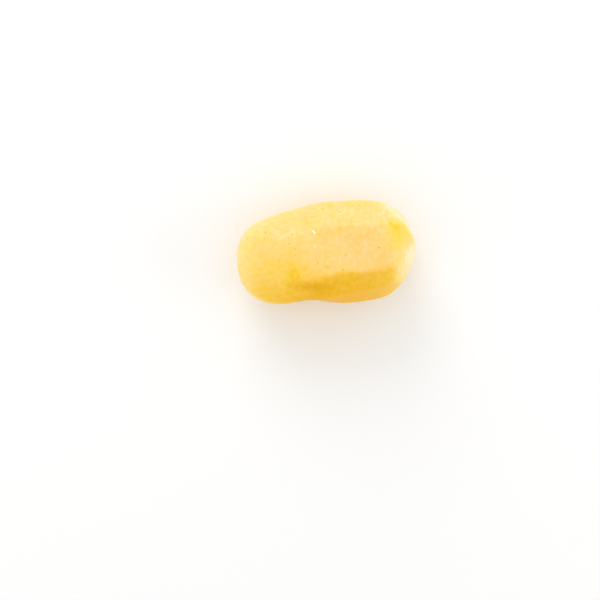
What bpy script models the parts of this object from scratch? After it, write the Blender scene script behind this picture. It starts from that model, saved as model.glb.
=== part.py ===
"""A large peeled potato, lying on its underside as the knife left it.

Metres, +Z up. The long axis runs along X, the origin is under the middle of
the potato on the surface that it rests on. The body is one solid: each stroke
of the knife is a nearly flat cut at its own distance from the middle, and
the surface is the rounded meeting of all the cuts.
"""
import math

import bmesh
import bpy
from mathutils import Vector

# Driving sizes, in metres.
LENGTH = 0.110
WIDTH = 0.0642
HEIGHT = 0.0552
REST_FLAT = 0.00045      # how much of the underside is pressed flat where it rests

# How the tuber grew and how crisply it was cut.
BLUNTNESS = 3.3          # 2 gives an ellipse along the length, more gives blunter ends
CRISP_LEFT = 15.0        # higher gives sharper ridges between the strokes, at the -X end
CRISP_RIGHT = 52.0       # and at the +X end, where the knife cut flatter
SOFT_END = -0.6          # X of the directions where the ridges start to sharpen
CRISP_START = 0.45       # and from where on they are at their sharpest
SKEW = 0.035             # share of X by which the middle line leans towards +Y

# Long strokes: degrees round the long axis from +Y towards +Z, distance from the
# middle as a share of half the width, share of it gained towards +X, and degrees
# that the stroke drifts round towards +X.
LONG_STROKES = (
    (2, 0.963, 0.055, 0),
    (37, 0.868, 0.09, 4),
    (88, 0.829, 0.0, 2),
    (129, 0.962, -0.10, -6),
    (156, 1.030, -0.20, 2),
    (186, 0.984, -0.035, 0),
    (226, 0.928, 0.0, 3),
    (270.4, 0.857, 0.0, 0),
    (316, 0.910, 0.0, -3),
)

# Short strokes over the two ends: heading from +X towards +Y and elevation in
# degrees, and distance from the middle as a share of half the length.
END_STROKES = (
    (8, 50, 0.798),
    (50, 12, 0.840),
    (24, 6, 0.967),
    (-22, 26, 0.870),
    (-28, -6, 0.905),
    (-47, 4, 0.825),
    (-75, 48, 0.664),
    (10, -38, 0.909),
    (-30, -50, 0.809),
    (45, -42, 0.809),
    (110, 4, 0.584),
    (122, 42, 0.665),
    (112, 67, 0.510),
    (150, 10, 0.895),
    (176, 42, 0.872),
    (200, 24, 0.955),
    (219, 8, 0.982),
    (248, 10, 0.798),
    (248, 64, 0.552),
    (190, -25, 0.964),
    (140, -40, 0.789),
    (225, -42, 0.845),
)

# The shallow waist on the -Y side: middle, half widths along X, Y and Z, depth.
WAIST_MIDDLE = Vector((-0.011, -0.032, 0.0))
WAIST_REACH = Vector((0.016, 0.010, 0.020))
WAIST_DEPTH = 0.0048

# Pits left by the eyes: heading and elevation in degrees, half width, depth.
EYE_PITS = (
    (120, 63, 0.0017, 0.0008),
    (52, -14, 0.0026, 0.0011),
    (4, -16, 0.0030, 0.0013),
    (-31, -27, 0.0024, 0.0010),
    (96, -38, 0.0028, 0.0012),
    (160, -24, 0.0025, 0.0011),
    (205, -33, 0.0027, 0.0012),
    (258, -28, 0.0026, 0.0011),
)

# Mesh: squares along each side of the starting cube, its stretch along X, and
# how finely the ground round each pit is divided again.
SQUARES = 29
STRETCH = 1.25
PIT_GROUND = 2.0         # in half widths of the pit
PIT_CUTS = 1


def heading_vector(heading, elevation):
    heading, elevation = math.radians(heading), math.radians(elevation)
    level = math.cos(elevation)
    return Vector((math.cos(heading) * level, math.sin(heading) * level, math.sin(elevation)))


END_CUTS = [(heading_vector(heading, elevation), share * LENGTH / 2)
            for heading, elevation, share in END_STROKES]
PITS = [(heading_vector(heading, elevation), half_width, depth)
        for heading, elevation, half_width, depth in EYE_PITS]


def wander(x, y):
    """Angle in radians by which the long strokes wander round the body."""
    return 0.035 * math.sin(5.0 * x + 1.3) + 0.02 * math.sin(8.0 * x + 3.0 * y - 0.6)


def swell(x, y, z):
    """Share by which the body is locally slimmer, from uneven growth."""
    return (0.004 * math.sin(7 * x + 4 * y + 1)
            + 0.003 * math.sin(6 * z - 5 * y + 2)
            + 0.002 * math.sin(11 * x - 6 * z))


def crispness(x):
    """How sharp the ridges are, from the -X end to the +X end."""
    share = min(1.0, max(0.0, (x - SOFT_END) / (CRISP_START - SOFT_END)))
    return CRISP_LEFT + (CRISP_RIGHT - CRISP_LEFT) * share * share * (3 - 2 * share)


def distance_out(direction):
    """How far from the middle the cut surface is in a direction, before pits."""
    x, y, z = direction
    crisp = crispness(x)
    turn = wander(x, y)
    across = y - SKEW * x
    side = across * math.cos(turn) - z * math.sin(turn)
    rise = across * math.sin(turn) + z * math.cos(turn)
    total = 0.0
    for azimuth, share, lean, drift in LONG_STROKES:
        angle = math.radians(azimuth + drift * x)
        facing = side * math.cos(angle) + rise * math.sin(angle)
        total += max(0.0, facing / (share * WIDTH / 2 * (1 + lean * x))) ** crisp
    section = total ** (1 / crisp)
    along = abs(x) / (LENGTH / 2)
    total = (section ** BLUNTNESS + along ** BLUNTNESS) ** (crisp / BLUNTNESS)
    for facing, reach in END_CUTS:
        total += max(0.0, direction.dot(facing) / reach) ** crisp
    return 1 / (total ** (1 / crisp) * (1 + swell(x, y, z)))


def waist_dent(point):
    """How deep the waist is at a point of the cut surface."""
    away = [(p - m) / r for p, m, r in zip(point, WAIST_MIDDLE, WAIST_REACH)]
    return WAIST_DEPTH * math.exp(-sum(a * a for a in away))


def from_pit(direction, facing, half_width, out):
    """Distance from a pit's middle across the surface, in half widths of the pit."""
    return (direction - facing).length * out / half_width


def surface_point(direction):
    out = distance_out(direction)
    sunk = waist_dent(direction * out)
    for facing, half_width, depth in PITS:
        sunk += depth * math.exp(-from_pit(direction, facing, half_width, out) ** 2)
    return direction * (out - sunk)


def cube_to_ball(bm):
    """Moves the divided cube's points out to evenly spread directions."""
    for vert in bm.verts:
        spread = Vector([math.tan(c * math.pi / 4) for c in vert.co])
        spread.x *= STRETCH
        vert.co = spread.normalized()


def divide_round_pits(bm):
    """Divides the ball again where a pit will be, so that its rim comes out round."""
    for facing, half_width, _ in PITS:
        near = {v for v in bm.verts
                if from_pit(v.co, facing, half_width, distance_out(v.co)) < PIT_GROUND}
        edges = [e for e in bm.edges if e.verts[0] in near and e.verts[1] in near]
        bmesh.ops.subdivide_edges(bm, edges=edges, cuts=PIT_CUTS, use_grid_fill=True)
    for vert in bm.verts:
        vert.co.normalize()


def settle(bm):
    """Fits the body to its driving sizes and stands it on its flat spot."""
    low = [min(v.co[i] for v in bm.verts) for i in range(3)]
    high = [max(v.co[i] for v in bm.verts) for i in range(3)]
    low[2] += REST_FLAT
    scale = [size / (high[i] - low[i]) for i, size in enumerate((LENGTH, WIDTH, HEIGHT))]
    for vert in bm.verts:
        vert.co.x = (vert.co.x - (low[0] + high[0]) / 2) * scale[0]
        vert.co.y = (vert.co.y - (low[1] + high[1]) / 2) * scale[1]
        vert.co.z = max(0.0, (vert.co.z - low[2]) * scale[2])


def potato_mesh():
    bm = bmesh.new()
    bmesh.ops.create_cube(bm, size=2)
    bmesh.ops.subdivide_edges(bm, edges=bm.edges[:], cuts=SQUARES - 1, use_grid_fill=True)
    cube_to_ball(bm)
    divide_round_pits(bm)
    for vert in bm.verts:
        vert.co = surface_point(vert.co.copy())
    settle(bm)
    bmesh.ops.triangulate(bm, faces=bm.faces[:])
    bmesh.ops.recalc_face_normals(bm, faces=bm.faces[:])
    mesh = bpy.data.meshes.new("peeled_potato")
    bm.to_mesh(mesh)
    bm.free()
    mesh.shade_smooth()
    return mesh


def flesh_material():
    material = bpy.data.materials.new("potato_flesh")
    material.use_nodes = True
    shader = material.node_tree.nodes["Principled BSDF"]
    shader.inputs["Base Color"].default_value = (0.93, 0.70, 0.27, 1)
    shader.inputs["Roughness"].default_value = 0.38
    shader.inputs["Metallic"].default_value = 0.0
    return material


def main():
    for leftover in list(bpy.data.objects):
        bpy.data.objects.remove(leftover)
    potato = bpy.data.objects.new("peeled_potato", potato_mesh())
    potato.data.materials.append(flesh_material())
    bpy.context.scene.collection.objects.link(potato)


main()
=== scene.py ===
import math

import bpy
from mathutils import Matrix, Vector


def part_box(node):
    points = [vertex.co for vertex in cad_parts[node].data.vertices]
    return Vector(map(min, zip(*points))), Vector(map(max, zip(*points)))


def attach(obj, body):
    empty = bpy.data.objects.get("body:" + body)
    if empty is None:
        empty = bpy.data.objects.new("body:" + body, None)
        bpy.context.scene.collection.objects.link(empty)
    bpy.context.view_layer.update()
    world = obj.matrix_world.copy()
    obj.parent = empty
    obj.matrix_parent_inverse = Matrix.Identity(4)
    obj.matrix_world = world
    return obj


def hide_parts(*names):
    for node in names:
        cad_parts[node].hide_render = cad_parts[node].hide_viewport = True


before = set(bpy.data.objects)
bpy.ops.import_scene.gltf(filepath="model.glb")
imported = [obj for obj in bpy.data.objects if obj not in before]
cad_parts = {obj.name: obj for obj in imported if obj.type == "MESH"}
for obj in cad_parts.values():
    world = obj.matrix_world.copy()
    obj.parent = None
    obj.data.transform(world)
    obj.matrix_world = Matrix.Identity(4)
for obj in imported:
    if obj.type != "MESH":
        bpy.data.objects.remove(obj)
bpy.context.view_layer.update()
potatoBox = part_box("peeled_potato")
print("frame loaded, potato box", [tuple(corner) for corner in potatoBox])

millimetre = 0.001
degree = math.pi / 180


# Formulas in node trees

class Wire:  # a node's output that can stand in a formula
    def __init__(self, tree, socket):
        self.tree, self.socket = tree, socket

    def __add__(self, other):
        return mathNode(self.tree, "ADD", self, other)

    def __radd__(self, other):
        return mathNode(self.tree, "ADD", other, self)

    def __sub__(self, other):
        return mathNode(self.tree, "SUBTRACT", self, other)

    def __rsub__(self, other):
        return mathNode(self.tree, "SUBTRACT", other, self)

    def __mul__(self, other):
        return mathNode(self.tree, "MULTIPLY", self, other)

    def __rmul__(self, other):
        return mathNode(self.tree, "MULTIPLY", other, self)

    def __truediv__(self, other):
        return mathNode(self.tree, "DIVIDE", self, other)

    def __rtruediv__(self, other):
        return mathNode(self.tree, "DIVIDE", other, self)

    def __pow__(self, other):
        return mathNode(self.tree, "POWER", self, other)


def plug(tree, slot, value):
    if isinstance(value, Wire):
        tree.links.new(value.socket, slot)
    else:
        slot.default_value = value


def mathNode(tree, operation, *values):
    made = tree.nodes.new("ShaderNodeMath")
    made.operation = operation
    for slot, value in zip(made.inputs, values):
        plug(tree, slot, value)
    return Wire(tree, made.outputs[0])


def vectorNode(tree, operation, *values, scale=None):
    made = tree.nodes.new("ShaderNodeVectorMath")
    made.operation = operation
    for slot, value in zip(made.inputs, values):
        plug(tree, slot, value)
    if scale is not None:
        plug(tree, made.inputs["Scale"], scale)
    single = operation in ("LENGTH", "DOT_PRODUCT")
    return Wire(tree, made.outputs["Value" if single else "Vector"])


def anyNode(tree, kind, output=0, settings=None, **values):
    made = tree.nodes.new(kind)
    for name, value in (settings or {}).items():
        setattr(made, name, value)
    for name, value in values.items():
        plug(tree, made.inputs[name.replace("_", " ")], value)
    return Wire(tree, made.outputs[output])


def split(vector):
    parts = vector.tree.nodes.new("ShaderNodeSeparateXYZ")
    plug(vector.tree, parts.inputs[0], vector)
    return [Wire(vector.tree, socket) for socket in parts.outputs]


def combine(tree, x, y, z):
    return anyNode(tree, "ShaderNodeCombineXYZ", X=x, Y=y, Z=z)


def sine(wire):
    return mathNode(wire.tree, "SINE", wire)


def cosine(wire):
    return mathNode(wire.tree, "COSINE", wire)


def clamped(wire):
    return mathNode(wire.tree, "MINIMUM", mathNode(wire.tree, "MAXIMUM", wire, 0.0), 1.0)


def smoothStep(wire, start, end):
    return anyNode(wire.tree, "ShaderNodeMapRange", "Result", {"interpolation_type": "SMOOTHSTEP"},
                   Value=wire, From_Min=start, From_Max=end)


def noise(tree, vector, scale, detail=2.0, roughness=0.5):
    return anyNode(tree, "ShaderNodeTexNoise", "Fac", Vector=vector, Scale=scale, Detail=detail,
                   Roughness=roughness)


def mixed(tree, share, first, second, blend="MIX"):
    made = tree.nodes.new("ShaderNodeMix")
    made.data_type, made.blend_type = "RGBA", blend
    plug(tree, made.inputs["Factor"], share)
    colours = [socket for socket in made.inputs if socket.type == "RGBA"]
    for slot, value in zip(colours, (first, second)):
        plug(tree, slot, value if isinstance(value, Wire) else (*value, 1))
    return Wire(tree, [socket for socket in made.outputs if socket.type == "RGBA"][0])


def newGroup(name, inputs, outputs):
    tree = bpy.data.node_groups.new(name, "GeometryNodeTree")
    for label, kind, value in inputs:
        socket = tree.interface.new_socket(label, in_out="INPUT", socket_type="NodeSocket" + kind)
        if value is not None:
            socket.default_value = value
    for label, kind in outputs:
        tree.interface.new_socket(label, in_out="OUTPUT", socket_type="NodeSocket" + kind)
    given = tree.nodes.new("NodeGroupInput")
    wires = {socket.name: Wire(tree, socket) for socket in given.outputs if socket.name}
    return tree, wires, tree.nodes.new("NodeGroupOutput")


def useGroup(tree, group, values):
    used = tree.nodes.new("GeometryNodeGroup")
    used.node_tree = group
    for label, value in values.items():
        plug(tree, used.inputs[label], value)
    return {socket.name: Wire(tree, socket) for socket in used.outputs}


def store(tree, geometry, name, kind, value):
    return anyNode(tree, "GeometryNodeStoreNamedAttribute", 0, {"data_type": kind, "domain": "POINT"},
                   Geometry=geometry, Name=name, Value=value)


# The potato

peeledPotato = {
    "bluntness": 3.3,               # higher gives blunter ends
    "crispLeft": 15.0,              # higher gives sharper ridges, at the -X end
    "crispRight": 52.0,             # and at the +X end
    "softEnd": -0.6,                # X of the directions where the ridges start to sharpen
    "crispStart": 0.45,             # and from where on they are at their sharpest
    "skew": 0.035,                  # lean of the middle line towards +Y, share of X
    "restFlat": 0.45 * millimetre,  # how much of the underside is pressed flat
    "lumpHeight": 0.32 * millimetre,
    "chatterHeight": 0.05 * millimetre,
    "grooveHeight": 0.05 * millimetre,
    "gridPoints": (168, 104, 92),   # of the starting box, along X, Y and Z
    "gridSpread": (1.5, 1.0, 0.9),  # how the box is stretched to give even faces
    "speckSeed": 7,
}

# Relief that the knife leaves; each noise is waves in a metre, detail
knifeMarks = {
    "lumps": (105.0, 2.0),
    "chatterStep": 2.4 * millimetre,  # from one ripple to the next
    "chatterSway": 9.0,               # how far the ripples wander, in radians
    "sway": (70.0, 1.0),
    "patches": (90.0, 1.0),           # where the ripples come and go
    "grooves": (520.0, 2.0),
    "grooveRun": 0.08,                # lower gives longer grooves along X
    "levelTo": -0.93,                 # Z of the directions up to which the underside stays level
    "fullFrom": -0.75,                # and from where on the relief is whole
}

# Long strokes: degrees round the long axis from +Y towards +Z, reach in half widths,
# share of it gained towards +X, drift in degrees towards +X, (yellowness, warmth, shade); shade is painted
# shade
longStrokes = [
    (2, 0.963, 0.055, 0, (0.38, 0.40, 0)),
    (37, 0.868, 0.09, 4, (0.34, 0.55, 0)),
    (88, 0.829, 0.0, 2, (0.37, 0.52, 0)),
    # these four face -Y: their deep orange is partly the flesh's own tone and partly painted bounce light,
    # and their shade is painted shade
    (129, 0.962, -0.10, -6, (0.93, 0.62, 0.37)),
    (156, 1.030, -0.20, 2, (1.25, 1.0, 0.30)),
    (186, 0.984, -0.035, 0, (0.92, 0.70, 0.16)),
    (226, 0.928, 0.0, 3, (0.72, 0.55, 0.06)),
    (270.4, 0.857, 0.0, 0, (0.50, 0.50, 0)),
    (316, 0.910, 0.0, -3, (0.48, 0.40, 0)),
]

# Short strokes over the ends: heading, elevation, reach in half lengths, tone as above; those facing -Y carry
# the same painted bounce light and painted shade
endStrokes = [
    (8, 50, 0.798, (0.45, 0.0, 0)),
    (50, 12, 0.840, (0.15, 0.0, 0)),
    (24, 6, 0.967, (0.15, 0.0, 0)),
    (-22, 26, 0.870, (0.24, 0.0, 0)),
    (-28, -6, 0.905, (0.25, 0.1, 0)),
    # these two face -Y: their deeper orange is partly painted bounce light, and their shade is painted shade
    (-47, 4, 0.825, (0.70, 0.45, 0.06)),
    (-75, 48, 0.664, (0.90, 0.65, 0.27)),
    (10, -38, 0.909, (0.38, 0.25, 0)),
    (-30, -50, 0.809, (0.52, 0.40, 0)),
    (45, -42, 0.809, (0.50, 0.20, 0)),
    (110, 4, 0.584, (0.38, 0.40, 0)),
    (122, 42, 0.665, (0.33, 0.55, 0)),
    (112, 67, 0.510, (0.36, 0.55, 0)),
    (150, 10, 0.895, (0.22, 0.20, 0)),
    (176, 42, 0.872, (0.40, 0.40, 0)),
    (200, 24, 0.955, (0.44, 0.20, 0)),
    (219, 8, 0.982, (0.70, 0.25, 0)),
    (248, 10, 0.798, (0.95, 0.50, 0)),
    (248, 64, 0.552, (0.58, 0.28, 0)),
    (190, -25, 0.964, (0.52, 0.35, 0)),
    (140, -40, 0.789, (0.42, 0.35, 0)),
    (225, -42, 0.845, (0.60, 0.45, 0)),
]

endTone = (0.30, 0.15, 0)  # where the body itself shows at the two ends

waist = {"middle": (-0.011, -0.032, 0.0), "reach": (0.016, 0.010, 0.020), "depth": 0.0048}

# Eyes: heading, elevation, half width, depth, how much longer across than along, ring
eyes = [
    (120, 63, 0.0017, 0.0008, 1.0, 0.0),
    (52, -14, 0.0026, 0.0011, 1.0, 0.3),
    (4, -16, 0.0030, 0.0013, 1.0, 0.5),
    (-31, -27, 0.0024, 0.0010, 1.0, 0.2),
    (96, -38, 0.0028, 0.0012, 1.0, 0.5),
    (160, -24, 0.0025, 0.0011, 1.0, 0.3),
    (205, -33, 0.0027, 0.0012, 1.0, 0.5),
    (258, -28, 0.0026, 0.0011, 1.0, 0.3),
    (218.7, 46.5, 0.0017, 0.00006, 2.8, 1.0),  # cut through flush, only its ring is left
]

# Washes of colour, three of them painted light: middle and half widths in millimetres, added tone as above
washes = [
    ((40.5, 11, 46), (5, 5, 9), (0.27, -0.10, 0)),     # lemon patches down the end facet
    ((39, 15.5, 45), (4, 3, 9), (0.16, -0.05, 0)),
    ((41.8, 14.6, 43), (1.7, 1.7, 9), (0.32, -0.30, 0)),
    ((40, 3, 46), (5, 4, 9), (0.13, 0.0, 0)),
    ((36, -9, 46), (5, 4, 9), (0.14, 0.0, 0)),
    ((50, 0, 35), (5, 7, 12), (-0.42, 0.0, 0)),        # painted pale sheen and glow over the right end, cream rather than yellow
    ((-8, -21, 44), (11, 3, 9), (0.55, 0.50, 0.95)),   # painted shade: darker ochre where the third stroke begins
    ((-9, -28, 31), (13, 4, 12), (0.25, 0.25, 0.40)),  # and painted shade down into the waist
    ((-19, -15, 50), (5, 6, 9), (0.14, 0.0, 0)),       # yellow round the flush eye
    ((-13, 19, 48), (2.5, 3, 8), (0.14, 0.30, 0)),     # peach patch beside the open eye
    ((0, -10, 54), (2, 1, 8), (0.25, 0.30, 0)),        # orange fleck above the third stroke
    ((2, 28, 38), (2, 1.5, 8), (0.30, 0.30, 0.06)),    # golden flecks on the upper stroke and its side
    ((19, 8, 54), (2.2, 1.1, 8), (0.16, 0.05, 0)),
    ((-30, -8, 47), (14, 6, 9), (0.10, -0.10, 0)),     # clear yellow over the left shoulder
    ((25, -4, 52), (14, 9, 9), (-0.06, 0.15, 0)),      # rosy middle of the upper stroke
]

# Freckles as the camera sees them: X and Y in millimetres where the potato is widest,
# half width in millimetres, brownness; below zero they are pale; the two at -1.0 are a painted glint in the
# open eye
frecklesAndGlint = [
    (-2.2, 26.8, 0.70, 0.1), (-4.6, 25.0, 0.50, 0.0), (-6.6, 23.8, 0.60, 0.1), (-8.8, 21.7, 0.85, 0.0),
    (-12.3, 22.0, 0.50, 0.0), (6.8, 26.3, 0.60, 0.1), (7.9, 24.5, 0.80, 0.2), (3.8, 22.1, 0.70, 0.1),
    (8.2, 19.3, 0.65, 0.2), (7.5, 17.1, 0.45, 0.1), (8.8, 14.4, 0.45, 0.2), (-4.1, 10.7, 0.75, 0.0),
    (-21.3, 10.4, 0.65, 0.1), (-23.0, 8.6, 0.50, 0.1), (-18.1, 11.2, 0.50, 0.0), (22.1, 16.5, 0.45, 0.1),
    (-23.1, 5.1, 0.65, 0.2), (-19.1, 1.7, 0.60, 0.0), (-19.2, -1.6, 0.50, 0.0), (-28.7, -5.9, 0.40, 0.0),
    (-37.2, 11.9, 0.70, 0.1), (-38.0, 8.0, 0.50, 0.1), (-43.0, 12.8, 0.50, 0.1), (39.4, 17.6, 0.75, 0.4),
    (38.4, 27.2, 0.50, 0.0), (20.1, 28.8, 0.60, 0.0), (25.6, 10.9, 0.50, 0.0), (32.5, 2.7, 0.55, 0.8),
    (11.9, -1.9, 0.50, 0.8), (10.2, -10.8, 0.60, 0.7), (-5.2, -6.9, 0.50, 0.0), (40.7, -7.2, 0.45, 0.2),
    (44.2, -12.9, 0.60, 0.3), (19.5, -22.7, 0.85, 0.2), (20.9, -23.4, 0.50, 0.2), (-19.9, -18.4, 0.80, 0.0),
    # the last two entries, at brownness -1.0, are a painted highlight: a glint in the open eye
    (-21.6, -19.2, 0.55, 0.0), (-23.4, -20.2, 0.80, 0.1), (-21.0, -11.7, 0.55, 0.0), (-8.0, 12.8, 0.65, -1.0),
    (-7.3, 11.7, 0.65, -1.0),
]

# Specks where the camera sees nothing, scattered by the seed
hiddenSpecks = {
    "spacing": 6.0 * millimetre,
    "density": 3000.0,                # a square metre
    "normalUnder": 0.25,              # Z of the normals of the faces that they lie on
    "size": (0.0002, 0.0007),         # half width, smallest and largest
    "brown": (-0.2, 0.5),
}

unitReach = 0.03         # keeps the sums of high powers near one
smallestPull = 1e-30
tipFade = 0.2            # share at which the long strokes' tone has gone at the tips
farAway = (99, 99, 99)   # in half widths of an eye
guideShare = 0.9         # of the way down from the camera, where freckles start to drop


def strokeGroup():
    tree, given, out = newGroup("peelStroke", [
        ("Facing", "Float", 0), ("Reach", "Float", 1), ("Crispness", "Float", 44), ("Tone", "Vector", None),
        ("Pull", "Float", 0), ("Toned Pull", "Vector", None),
    ], [("Pull", "Float"), ("Toned Pull", "Vector")])
    near = mathNode(tree, "MAXIMUM", given["Facing"] * unitReach / given["Reach"], 0.0)
    pull = near ** given["Crispness"]
    toned = vectorNode(tree, "SCALE", given["Tone"], scale=pull)
    plug(tree, out.inputs["Pull"], given["Pull"] + pull)
    plug(tree, out.inputs["Toned Pull"], vectorNode(tree, "ADD", given["Toned Pull"], toned))
    return tree


def eyeGroup():
    tree, given, out = newGroup("eyePit", [
        ("Direction", "Vector", None), ("Distance", "Float", 0.03), ("Facing", "Vector", None),
        ("Half Width", "Float", 0.002), ("Depth", "Float", 0.001), ("Longer Across", "Float", 1),
        ("Ring", "Float", 0), ("Sunk", "Float", 0), ("Nearest", "Vector", farAway),
        ("Its Ring", "Float", 0),
    ], [("Sunk", "Float"), ("Nearest", "Vector"), ("Its Ring", "Float")])
    offset = vectorNode(tree, "SUBTRACT", given["Direction"], given["Facing"])
    x, y, z = split(vectorNode(tree, "SCALE", offset, scale=given["Distance"] / given["Half Width"]))
    away = combine(tree, x, y / given["Longer Across"], z)
    far = vectorNode(tree, "LENGTH", away)
    dent = mathNode(tree, "EXPONENT", 0.0 - far * far)
    plug(tree, out.inputs["Sunk"], given["Sunk"] + given["Depth"] * dent)
    nearer = mathNode(tree, "LESS_THAN", far, vectorNode(tree, "LENGTH", given["Nearest"]))
    kept = vectorNode(tree, "SCALE", given["Nearest"], scale=1 - nearer)
    gained = vectorNode(tree, "SCALE", away, scale=nearer)
    plug(tree, out.inputs["Nearest"], vectorNode(tree, "ADD", kept, gained))
    plug(tree, out.inputs["Its Ring"], given["Its Ring"] * (1 - nearer) + given["Ring"] * nearer)
    return tree


def washGroup():
    tree, given, out = newGroup("colourWash", [
        ("Point", "Vector", None), ("Middle", "Vector", None), ("Reach", "Vector", None),
        ("Added", "Vector", None), ("Tone", "Vector", None),
    ], [("Tone", "Vector")])
    away = vectorNode(tree, "SUBTRACT", given["Point"], given["Middle"])
    far = vectorNode(tree, "LENGTH", vectorNode(tree, "DIVIDE", away, given["Reach"]))
    added = vectorNode(tree, "SCALE", given["Added"], scale=mathNode(tree, "EXPONENT", 0.0 - far * far))
    plug(tree, out.inputs["Tone"], vectorNode(tree, "ADD", given["Tone"], added))
    return tree


def facingVector(heading, elevation):
    level = math.cos(elevation * degree)
    return (math.cos(heading * degree) * level, math.sin(heading * degree) * level,
            math.sin(elevation * degree))


def wander(x, y):  # radians by which the long strokes wander round the body
    return 0.035 * sine(5.0 * x + 1.3) + 0.02 * sine(8.0 * x + 3.0 * y - 0.6)


def swell(x, y, z):  # share by which the body is locally slimmer, from uneven growth
    return (0.004 * sine(7 * x + 4 * y + 1) + 0.003 * sine(6 * z - 5 * y + 2)
            + 0.002 * sine(11 * x - 6 * z))


def cutDistance(tree, given, direction):
    x, y, z = split(direction)
    turn = wander(x, y)
    across = y - given["Skew"] * x
    side = across * cosine(turn) - z * sine(turn)
    rise = across * sine(turn) + z * cosine(turn)
    sharpened = smoothStep(x, given["Soft End"], given["Crisp Start"])
    crisp = given["Crisp Left"] + (given["Crisp Right"] - given["Crisp Left"]) * sharpened
    blunt = given["Bluntness"]
    halfWidth, halfLength = given["Width"] * 0.5, given["Length"] * 0.5
    stroke = strokeGroup()

    sums = {}
    for azimuth, share, lean, drift, tone in longStrokes:
        angle = (azimuth + drift * x) * degree
        sums = useGroup(tree, stroke, {
            **sums, "Facing": side * cosine(angle) + rise * sine(angle),
            "Reach": share * halfWidth * (1 + lean * x), "Crispness": crisp, "Tone": tone})
    section = sums["Pull"] ** (blunt / crisp)
    ends = (mathNode(tree, "ABSOLUTE", x) * unitReach / halfLength) ** blunt
    bodyPull = (section + ends) ** (crisp / blunt)
    onSides = clamped((1 + tipFade) * section / (section + ends) - tipFade)
    sidePull = mathNode(tree, "MAXIMUM", sums["Pull"], smallestPull)
    sideTone = vectorNode(tree, "SCALE", sums["Toned Pull"], scale=onSides / sidePull)
    tipTone = vectorNode(tree, "SCALE", endTone, scale=1 - onSides)
    bodyTone = vectorNode(tree, "ADD", sideTone, tipTone)
    sums = {"Pull": bodyPull, "Toned Pull": vectorNode(tree, "SCALE", bodyTone, scale=bodyPull)}
    for heading, elevation, share, tone in endStrokes:
        facing = vectorNode(tree, "DOT_PRODUCT", direction, facingVector(heading, elevation))
        sums = useGroup(tree, stroke, {
            **sums, "Facing": facing, "Reach": share * halfLength, "Crispness": crisp, "Tone": tone})

    distance = unitReach / (sums["Pull"] ** (1 / crisp) * (1 + swell(x, y, z)))
    tone = vectorNode(tree, "SCALE", sums["Toned Pull"], scale=1 / sums["Pull"])
    return distance, tone, bodyPull / sums["Pull"]


def waistDent(tree, point):
    away = vectorNode(tree, "SUBTRACT", point, waist["middle"])
    far = vectorNode(tree, "LENGTH", vectorNode(tree, "DIVIDE", away, waist["reach"]))
    return waist["depth"] * mathNode(tree, "EXPONENT", 0.0 - far * far)


def knifeRelief(tree, given, point, direction, onBody):
    lumps = noise(tree, point, *knifeMarks["lumps"]) - 0.5
    x, y, z = split(point)
    sway = noise(tree, point, *knifeMarks["sway"]) * knifeMarks["chatterSway"]
    ripple = sine(x * (2 * math.pi / knifeMarks["chatterStep"]) + sway)
    chatter = ripple * noise(tree, point, *knifeMarks["patches"]) * onBody
    along = combine(tree, x * knifeMarks["grooveRun"], y, z)
    grooves = noise(tree, along, *knifeMarks["grooves"]) - 0.5
    relief = (lumps * given["Lump Height"] + chatter * given["Chatter Height"]
              + grooves * given["Groove Height"])
    rise = split(direction)[2]
    return relief * smoothStep(rise, knifeMarks["levelTo"], knifeMarks["fullFrom"])


def sampled(tree, geometry, kind, value, index):
    return anyNode(tree, "GeometryNodeSampleIndex", 0, {"data_type": kind, "domain": "POINT"},
                   Geometry=geometry, Value=value, Index=index)


def speckCloud(tree, given, body):
    # the listed freckles drop onto the body, and seeded ones cover what the camera can't see
    plan = anyNode(tree, "GeometryNodeObjectInfo", "Geometry", Object=given["Freckles And Glint"])
    listed = anyNode(tree, "GeometryNodeMeshToPoints", Mesh=plan)
    here = anyNode(tree, "GeometryNodeInputPosition")
    sight = vectorNode(tree, "SUBTRACT", here, cameraPlace())
    landed = anyNode(tree, "GeometryNodeRaycast", "Hit Position", Target_Geometry=body, Source_Position=here,
                     Ray_Direction=sight, Ray_Length=1.0)
    listed = anyNode(tree, "GeometryNodeSetPosition", Geometry=listed, Position=landed)

    normal = anyNode(tree, "GeometryNodeInputNormal", "Normal")
    hidden = mathNode(tree, "LESS_THAN", split(normal)[2], hiddenSpecks["normalUnder"])
    loose = anyNode(tree, "GeometryNodeDistributePointsOnFaces", "Points", {"distribute_method": "POISSON"},
                    Mesh=body, Selection=hidden, Distance_Min=hiddenSpecks["spacing"],
                    Density_Max=hiddenSpecks["density"], Seed=given["Speck Seed"])
    for seed, name in enumerate(("size", "brown"), 1):
        drawn = tree.nodes.new("FunctionNodeRandomValue")
        least, most = hiddenSpecks[name]
        plug(tree, drawn.inputs[2], least)  # the node's inputs for single numbers
        plug(tree, drawn.inputs[3], most)
        plug(tree, drawn.inputs["Seed"], seed)
        loose = store(tree, loose, name, "FLOAT", Wire(tree, drawn.outputs[1]))
    joined = tree.nodes.new("GeometryNodeJoinGeometry")
    for points in (listed, loose):
        tree.links.new(points.socket, joined.inputs[0])
    return Wire(tree, joined.outputs[0])


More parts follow.
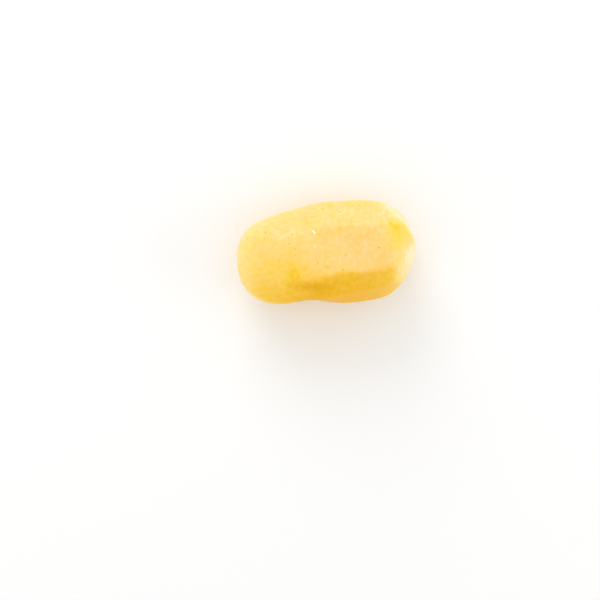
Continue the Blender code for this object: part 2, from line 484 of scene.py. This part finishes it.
def storeSpecks(tree, given, body):
    cloud = speckCloud(tree, given, body)
    here = anyNode(tree, "GeometryNodeInputPosition")
    nearest = anyNode(tree, "GeometryNodeSampleNearest", 0, {"domain": "POINT"}, Geometry=cloud,
                      Sample_Position=here)
    size, brown = [
        sampled(tree, cloud, "FLOAT",
                anyNode(tree, "GeometryNodeInputNamedAttribute", "Attribute", Name=name), nearest)
        for name in ("size", "brown")]
    away = vectorNode(tree, "SUBTRACT", here, sampled(tree, cloud, "FLOAT_VECTOR", here, nearest))
    away = vectorNode(tree, "SCALE", away, scale=1 / size)
    body = store(tree, body, "speckPlace", "FLOAT_VECTOR", away)
    body = store(tree, body, "speckFar", "FLOAT", vectorNode(tree, "LENGTH", away))
    return store(tree, body, "speckBrown", "FLOAT", brown)


def settled(tree, given, body):
    box = tree.nodes.new("GeometryNodeBoundBox")
    plug(tree, box.inputs[0], body)
    pressed = combine(tree, 0.0, 0.0, given["Rest Flat"])
    low = vectorNode(tree, "ADD", Wire(tree, box.outputs["Min"]), pressed)
    room = vectorNode(tree, "SUBTRACT", Wire(tree, box.outputs["Max"]), low)
    size = combine(tree, given["Length"], given["Width"], given["Height"])
    here = anyNode(tree, "GeometryNodeInputPosition")
    share = vectorNode(tree, "DIVIDE", vectorNode(tree, "SUBTRACT", here, low), room)
    place = vectorNode(tree, "ADD", vectorNode(tree, "MULTIPLY", share, size), given["Low Corner"])
    ground = combine(tree, -1.0, -1.0, split(given["Low Corner"])[2])  # X and Y far below any point
    place = vectorNode(tree, "MAXIMUM", place, ground)
    return anyNode(tree, "GeometryNodeSetPosition", Geometry=body, Position=place)


def potatoTree():
    tree, given, out = newGroup("peeledPotato", [
        ("Length", "Float", 0.11), ("Width", "Float", 0.0642), ("Height", "Float", 0.0552),
        ("Low Corner", "Vector", None), ("Bluntness", "Float", 3.3), ("Crisp Left", "Float", 15.0),
        ("Crisp Right", "Float", 52.0), ("Soft End", "Float", -0.6), ("Crisp Start", "Float", 0.45),
        ("Skew", "Float", 0.035), ("Rest Flat", "Float", 0.0004), ("Lump Height", "Float", 0.0003),
        ("Chatter Height", "Float", 0.00003), ("Groove Height", "Float", 0.00005),
        ("Points X", "Int", 60), ("Points Y", "Int", 40), ("Points Z", "Int", 36),
        ("Speck Seed", "Int", 1), ("Freckles And Glint", "Object", None), ("Material", "Material", None),
    ], [("Geometry", "Geometry")])
    box = anyNode(tree, "GeometryNodeMeshCube", "Mesh", Size=(2, 2, 2), Vertices_X=given["Points X"],
                  Vertices_Y=given["Points Y"], Vertices_Z=given["Points Z"])
    here = anyNode(tree, "GeometryNodeInputPosition")
    spread = vectorNode(tree, "TANGENT", vectorNode(tree, "SCALE", here, scale=math.pi / 4))
    spread = vectorNode(tree, "MULTIPLY", spread, peeledPotato["gridSpread"])
    capture = tree.nodes.new("GeometryNodeCaptureAttribute")
    capture.capture_items.new("VECTOR", "Direction")
    plug(tree, capture.inputs["Geometry"], box)
    plug(tree, capture.inputs["Direction"], vectorNode(tree, "NORMALIZE", spread))
    body, direction = Wire(tree, capture.outputs["Geometry"]), Wire(tree, capture.outputs["Direction"])

    distance, tone, onBody = cutDistance(tree, given, direction)
    point = vectorNode(tree, "SCALE", direction, scale=distance)
    eye, found = eyeGroup(), {}
    for heading, elevation, halfWidth, depth, longer, ring in eyes:
        found = useGroup(tree, eye, {
            **found, "Direction": direction, "Distance": distance, "Half Width": halfWidth, "Ring": ring,
            "Facing": facingVector(heading, elevation), "Depth": depth, "Longer Across": longer})
    relief = knifeRelief(tree, given, point, direction, onBody)
    reach = distance - waistDent(tree, point) - found["Sunk"] + relief
    body = anyNode(tree, "GeometryNodeSetPosition", Geometry=body,
                   Position=vectorNode(tree, "SCALE", direction, scale=reach))
    body = settled(tree, given, body)

    wash, toned = washGroup(), {"Tone": tone}
    for middle, halves, added in washes:
        toned = useGroup(tree, wash, {
            **toned, "Point": here, "Middle": [value * millimetre for value in middle],
            "Reach": [value * millimetre for value in halves], "Added": added})
    for name, kind, value in (("tone", "FLOAT_VECTOR", toned["Tone"]), ("onBody", "FLOAT", onBody),
                              ("eyePlace", "FLOAT_VECTOR", found["Nearest"]),
                              ("eyeFar", "FLOAT", vectorNode(tree, "LENGTH", found["Nearest"])),
                              ("eyeRing", "FLOAT", found["Its Ring"])):
        body = store(tree, body, name, kind, value)
    body = storeSpecks(tree, given, body)
    body = anyNode(tree, "GeometryNodeSetShadeSmooth", Geometry=body)
    body = anyNode(tree, "GeometryNodeRealizeInstances", Geometry=body)
    body = anyNode(tree, "GeometryNodeSetMaterial", Geometry=body, Material=given["Material"])
    plug(tree, out.inputs["Geometry"], body)
    return tree


def freckleGuide():
    mesh = bpy.data.meshes.new("freckleGuide")
    widest = photoView["outlineHeight"]
    seen = [Vector((x * millimetre, y * millimetre, widest)) for x, y, _, _ in frecklesAndGlint]
    mesh.from_pydata([cameraPlace().lerp(point, guideShare) for point in seen], [], [])
    sizes = mesh.attributes.new("size", "FLOAT", "POINT")
    browns = mesh.attributes.new("brown", "FLOAT", "POINT")
    for index, (_, _, size, brown) in enumerate(frecklesAndGlint):
        sizes.data[index].value = size * millimetre
        browns.data[index].value = brown
    guide = bpy.data.objects.new("freckleGuide", mesh)
    bpy.context.scene.collection.objects.link(guide)
    return guide


def makePotato(material):
    low, high = Vector(potatoBox[0]), Vector(potatoBox[1])
    length, width, height = high - low
    pointsX, pointsY, pointsZ = peeledPotato["gridPoints"]
    guide = freckleGuide()
    tree = potatoTree()
    piece = bpy.data.objects.new("potatoFlesh", bpy.data.meshes.new("potatoFlesh"))
    bpy.context.scene.collection.objects.link(piece)
    modifier = piece.modifiers.new("peel", "NODES")
    modifier.node_group = tree
    values = {
        "Length": length, "Width": width, "Height": height, "Low Corner": low,
        "Bluntness": peeledPotato["bluntness"], "Crisp Left": peeledPotato["crispLeft"],
        "Crisp Right": peeledPotato["crispRight"], "Soft End": peeledPotato["softEnd"],
        "Crisp Start": peeledPotato["crispStart"], "Skew": peeledPotato["skew"],
        "Rest Flat": peeledPotato["restFlat"], "Lump Height": peeledPotato["lumpHeight"],
        "Chatter Height": peeledPotato["chatterHeight"], "Groove Height": peeledPotato["grooveHeight"],
        "Points X": pointsX, "Points Y": pointsY, "Points Z": pointsZ,
        "Speck Seed": peeledPotato["speckSeed"], "Freckles And Glint": guide, "Material": material,
    }
    for item in tree.interface.items_tree:
        if item.in_out == "INPUT":
            modifier[item.identifier] = values[item.name]
    graph = bpy.context.evaluated_depsgraph_get()
    made = bpy.data.meshes.new_from_object(piece.evaluated_get(graph), depsgraph=graph)
    piece.modifiers.clear()
    piece.data = made
    bpy.data.objects.remove(guide)
    print("potato made,", len(made.polygons), "faces")
    return piece


# The flesh

flesh = {
    "yellowness": [                   # from where the knife went deep to just under the skin; high on the strokes facing -Y, where it also paints in orange bounce light
        (0.0, (0.96, 0.80, 0.50)),
        (0.3, (0.95, 0.68, 0.23)),
        (0.65, (0.94, 0.64, 0.075)),
        (1.0, (0.92, 0.57, 0.005)),
    ],
    "warmth": (1.0, 0.84, 0.93),      # what the warmest colour is multiplied by
    "shade": (0.80, 0.78, 0.72),      # and where shade is painted in
    "ring": (0.94, 0.56, 0.004),
    "freckle": (0.92, 0.54, 0.012),
    "brown": (0.78, 0.46, 0.06),
    # pale flecks, and the painted glint in the open eye
    "paleFleckAndGlint": (1.0, 0.93, 0.72),

    "clouds": (75.0, 3.0, 0.55),      # each noise is waves in a metre, detail, roughness
    "blush": (60.0, 3.0, 0.6),
    "mottle": (330.0, 3.0, 0.6),
    "streaks": (900.0, 2.0, 0.6),
    "streakRun": 0.12,                # lower gives longer streaks across the strokes
    "moist": (160.0, 3.0, 0.6),
    "grain": (2600.0, 2.0, 0.6),
    "drag": (1300.0, 2.0, 0.6),
    "dragRun": 0.06,                  # lower gives longer drag lines along X
    "wobble": (700.0, 2.0, 0.5),      # of the edges of rings and freckles
    "breaks": (420.0, 1.0, 0.5),      # of the gaps in the rings

    "cloudYellow": 0.40,              # how much each noise changes the tone
    "mottleYellow": 0.52,
    "streakYellow": 0.30,
    "blushWarm": 0.75,
    "mottleWarm": 0.50,
    "streakWarm": 0.30,
    "paintedShadeSpread": 0.80,

    "eyeSlack": 0.3,                  # how far apart the two measures of a mark may be
    "freckleSlack": 0.6,
    "ringFrom": (0.55, 0.90),         # in half widths of the eye, fading in
    "ringTo": (1.05, 1.50),           # and out again
    "ringGaps": (0.30, 0.55),
    "ringStrength": 0.85,
    "freckleFade": (0.4, 1.6),        # in half widths of the freckle
    "edgeWobble": 0.5,

    "roughness": 0.34,
    "moistSpread": 0.22,              # how much wetter and drier patches differ
    "grainRelief": 0.5,
    "dragRelief": 0.9,
    "streakRelief": 0.6,
    "reliefHeight": 0.07 * millimetre,
    "reliefStrength": 0.6,
    "seepWeight": 0.45,
    "seepColours": (1.0, 0.5, 0.18),
    "seepDepth": 3.0 * millimetre,    # how far light spreads inside
    "ior": 1.38,
    "specular": 0.24,
    "coat": 0.07,
    "coatRoughness": 0.18,
}

blushOffset = (0.3, 0.1, 0.7)         # so that the blush doesn't follow the clouds


def attribute(tree, name, output):
    return anyNode(tree, "ShaderNodeAttribute", output, {"attribute_name": name})


def farFrom(tree, place, far, slack):
    # the place is exact inside a mark, the distance holds where two marks are equally near
    inside = vectorNode(tree, "LENGTH", attribute(tree, place, "Vector"))
    return mathNode(tree, "MAXIMUM", inside, attribute(tree, far, "Fac") - slack)


def fleshRamp(tree, yellow):
    ramp = tree.nodes.new("ShaderNodeValToRGB")
    plug(tree, ramp.inputs[0], yellow)
    steps = ramp.color_ramp.elements
    while len(steps) < len(flesh["yellowness"]):
        steps.new(0.5)
    for step, (place, colour) in zip(steps, flesh["yellowness"]):
        step.position, step.color = place, (*colour, 1)
    return Wire(tree, ramp.outputs["Color"])


def fleshMaterial():
    material = bpy.data.materials.new("potatoFlesh")
    material.use_nodes = True
    tree = material.node_tree
    shader = tree.nodes["Principled BSDF"]
    here = anyNode(tree, "ShaderNodeTexCoord", "Object")
    x, y, z = split(here)

    toneX, toneY, toneZ = split(attribute(tree, "tone", "Vector"))
    onBody = attribute(tree, "onBody", "Fac")
    clouds = noise(tree, here, *flesh["clouds"]) - 0.5
    aside = vectorNode(tree, "ADD", here, blushOffset)
    blush = noise(tree, aside, *flesh["blush"]) - 0.5
    mottle = noise(tree, here, *flesh["mottle"]) - 0.5
    across = combine(tree, x, y * flesh["streakRun"], z * flesh["streakRun"])
    streaks = noise(tree, across, *flesh["streaks"]) - 0.5
    yellow = (toneX + clouds * flesh["cloudYellow"] + mottle * flesh["mottleYellow"]
              + streaks * flesh["streakYellow"] * onBody)
    warm = clamped(toneY + blush * flesh["blushWarm"] + mottle * flesh["mottleWarm"]
                   + streaks * flesh["streakWarm"] * onBody)
    # painted shade: darkening where the tone's third value asks for it, broken up by streaks and mottle
    paintedShade = clamped(toneZ + (streaks + mottle) * flesh["paintedShadeSpread"] * toneZ)
    colour = fleshRamp(tree, yellow)
    colour = mixed(tree, warm, colour, mixed(tree, 1.0, colour, flesh["warmth"], "MULTIPLY"))

    # rings of the eyes, broken and of uneven width
    wobble = noise(tree, here, *flesh["wobble"]) - 0.5
    eyeFar = farFrom(tree, "eyePlace", "eyeFar", flesh["eyeSlack"]) + wobble * flesh["edgeWobble"]
    ring = smoothStep(eyeFar, *flesh["ringFrom"]) * (1 - smoothStep(eyeFar, *flesh["ringTo"]))
    gaps = smoothStep(noise(tree, here, *flesh["breaks"]), *flesh["ringGaps"])
    ringShare = ring * gaps * attribute(tree, "eyeRing", "Fac") * flesh["ringStrength"]
    colour = mixed(tree, ringShare, colour, flesh["ring"])

    # freckles, brown or pale, and the painted glint in the open eye
    speckFar = farFrom(tree, "speckPlace", "speckFar", flesh["freckleSlack"])
    speck = 1 - smoothStep(speckFar + wobble * flesh["edgeWobble"], *flesh["freckleFade"])
    brown = attribute(tree, "speckBrown", "Fac")
    speckColour = mixed(tree, clamped(brown), flesh["freckle"], flesh["brown"])
    speckColour = mixed(tree, clamped(0.0 - brown), speckColour, flesh["paleFleckAndGlint"])
    colour = mixed(tree, speck, colour, speckColour)
    # the painted shade multiplied over the flesh, freckles included
    colour = mixed(tree, paintedShade, colour, mixed(tree, 1.0, colour, flesh["shade"], "MULTIPLY"))
    plug(tree, shader.inputs["Base Color"], colour)

    # moist and drier patches, grain and the knife's drag
    moist = noise(tree, here, *flesh["moist"]) - 0.5
    plug(tree, shader.inputs["Roughness"], flesh["roughness"] + moist * flesh["moistSpread"])
    grain = noise(tree, here, *flesh["grain"])
    along = combine(tree, x * flesh["dragRun"], y, z)
    drag = noise(tree, along, *flesh["drag"])
    relief = (grain * flesh["grainRelief"] + drag * flesh["dragRelief"]
              + streaks * flesh["streakRelief"] * onBody)
    bumped = anyNode(tree, "ShaderNodeBump", "Normal", Strength=flesh["reliefStrength"], Height=relief,
                     Distance=flesh["reliefHeight"])
    plug(tree, shader.inputs["Normal"], bumped)

    for label, name in (("Subsurface Weight", "seepWeight"), ("Subsurface Radius", "seepColours"),
                        ("Subsurface Scale", "seepDepth"), ("IOR", "ior"),
                        ("Specular IOR Level", "specular"), ("Coat Weight", "coat"),
                        ("Coat Roughness", "coatRoughness")):
        shader.inputs[label].default_value = flesh[name]
    return material


# Floor, lights and camera

studio = {
    "floorTone": (0.88, 0.88, 0.875),
    "floorRoughness": 0.7,
    "floorSize": 4.0,
    "floorGap": 0.1 * millimetre,
    "skyTone": (1, 1, 1),
    "skyStrength": 0.91,
    "lampAim": (0, 0, 0.02),
    "lamps": [  # name, power, place, size
        ("keyLamp", 4.6, (-0.30, 0.95, 0.62), 0.7),
        ("sideLamp", 2.0, (1.0, -0.15, 0.45), 0.6),
        ("leftLamp", 1.6, (-1.0, -0.50, 0.35), 0.6),
    ],
}


def makeFloor():
    half = studio["floorSize"] / 2
    below = potatoBox[0][2] - studio["floorGap"]
    mesh = bpy.data.meshes.new("studioFloor")
    corners = [(-half, -half, below), (half, -half, below), (half, half, below), (-half, half, below)]
    mesh.from_pydata(corners, [], [(0, 1, 2, 3)])
    material = bpy.data.materials.new("studioFloor")
    material.use_nodes = True
    shader = material.node_tree.nodes["Principled BSDF"]
    shader.inputs["Base Color"].default_value = (*studio["floorTone"], 1)
    shader.inputs["Roughness"].default_value = studio["floorRoughness"]
    mesh.materials.append(material)
    floor = bpy.data.objects.new("studioFloor", mesh)
    bpy.context.scene.collection.objects.link(floor)
    return floor


def makeLights():
    world = bpy.data.worlds.new("studioSky")
    bpy.context.scene.world = world
    world.use_nodes = True
    sky = world.node_tree.nodes["Background"]
    sky.inputs["Color"].default_value = (*studio["skyTone"], 1)
    sky.inputs["Strength"].default_value = studio["skyStrength"]
    for name, power, place, size in studio["lamps"]:
        light = bpy.data.lights.new(name, "AREA")
        light.energy, light.size = power, size
        lamp = bpy.data.objects.new(name, light)
        lamp.location = place
        aim = Vector(studio["lampAim"]) - lamp.location
        lamp.rotation_euler = aim.to_track_quat("-Z", "Y").to_euler()
        bpy.context.scene.collection.objects.link(lamp)


photoView = {
    "framePixels": 600,
    "potatoMiddle": (326.25, 251.95),   # pixels, of the potato's box in the photograph
    "pixelSize": 0.6156 * millimetre,
    "cameraHeight": 0.9,
    "outlineHeight": 0.027,             # where the potato is widest
    "sensor": 36.0,
}


def cameraPlace():
    centre = photoView["framePixels"] / 2
    middleX, middleY = photoView["potatoMiddle"]
    return Vector(((centre - middleX) * photoView["pixelSize"],
                   (middleY - centre) * photoView["pixelSize"], photoView["cameraHeight"]))


def makeCamera():
    span = photoView["framePixels"] * photoView["pixelSize"]
    data = bpy.data.cameras.new("photoCamera")
    data.sensor_width = photoView["sensor"]
    data.lens = photoView["sensor"] * (photoView["cameraHeight"] - photoView["outlineHeight"]) / span
    camera = bpy.data.objects.new("photoCamera", data)
    camera.location = cameraPlace()
    bpy.context.scene.collection.objects.link(camera)
    bpy.context.scene.camera = camera


makeCamera()
potato = makePotato(fleshMaterial())
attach(potato, "root")
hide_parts("peeled_potato")
makeFloor()
makeLights()
bpy.context.scene.view_settings.view_transform = "Standard"
print("floor, lights and camera set")
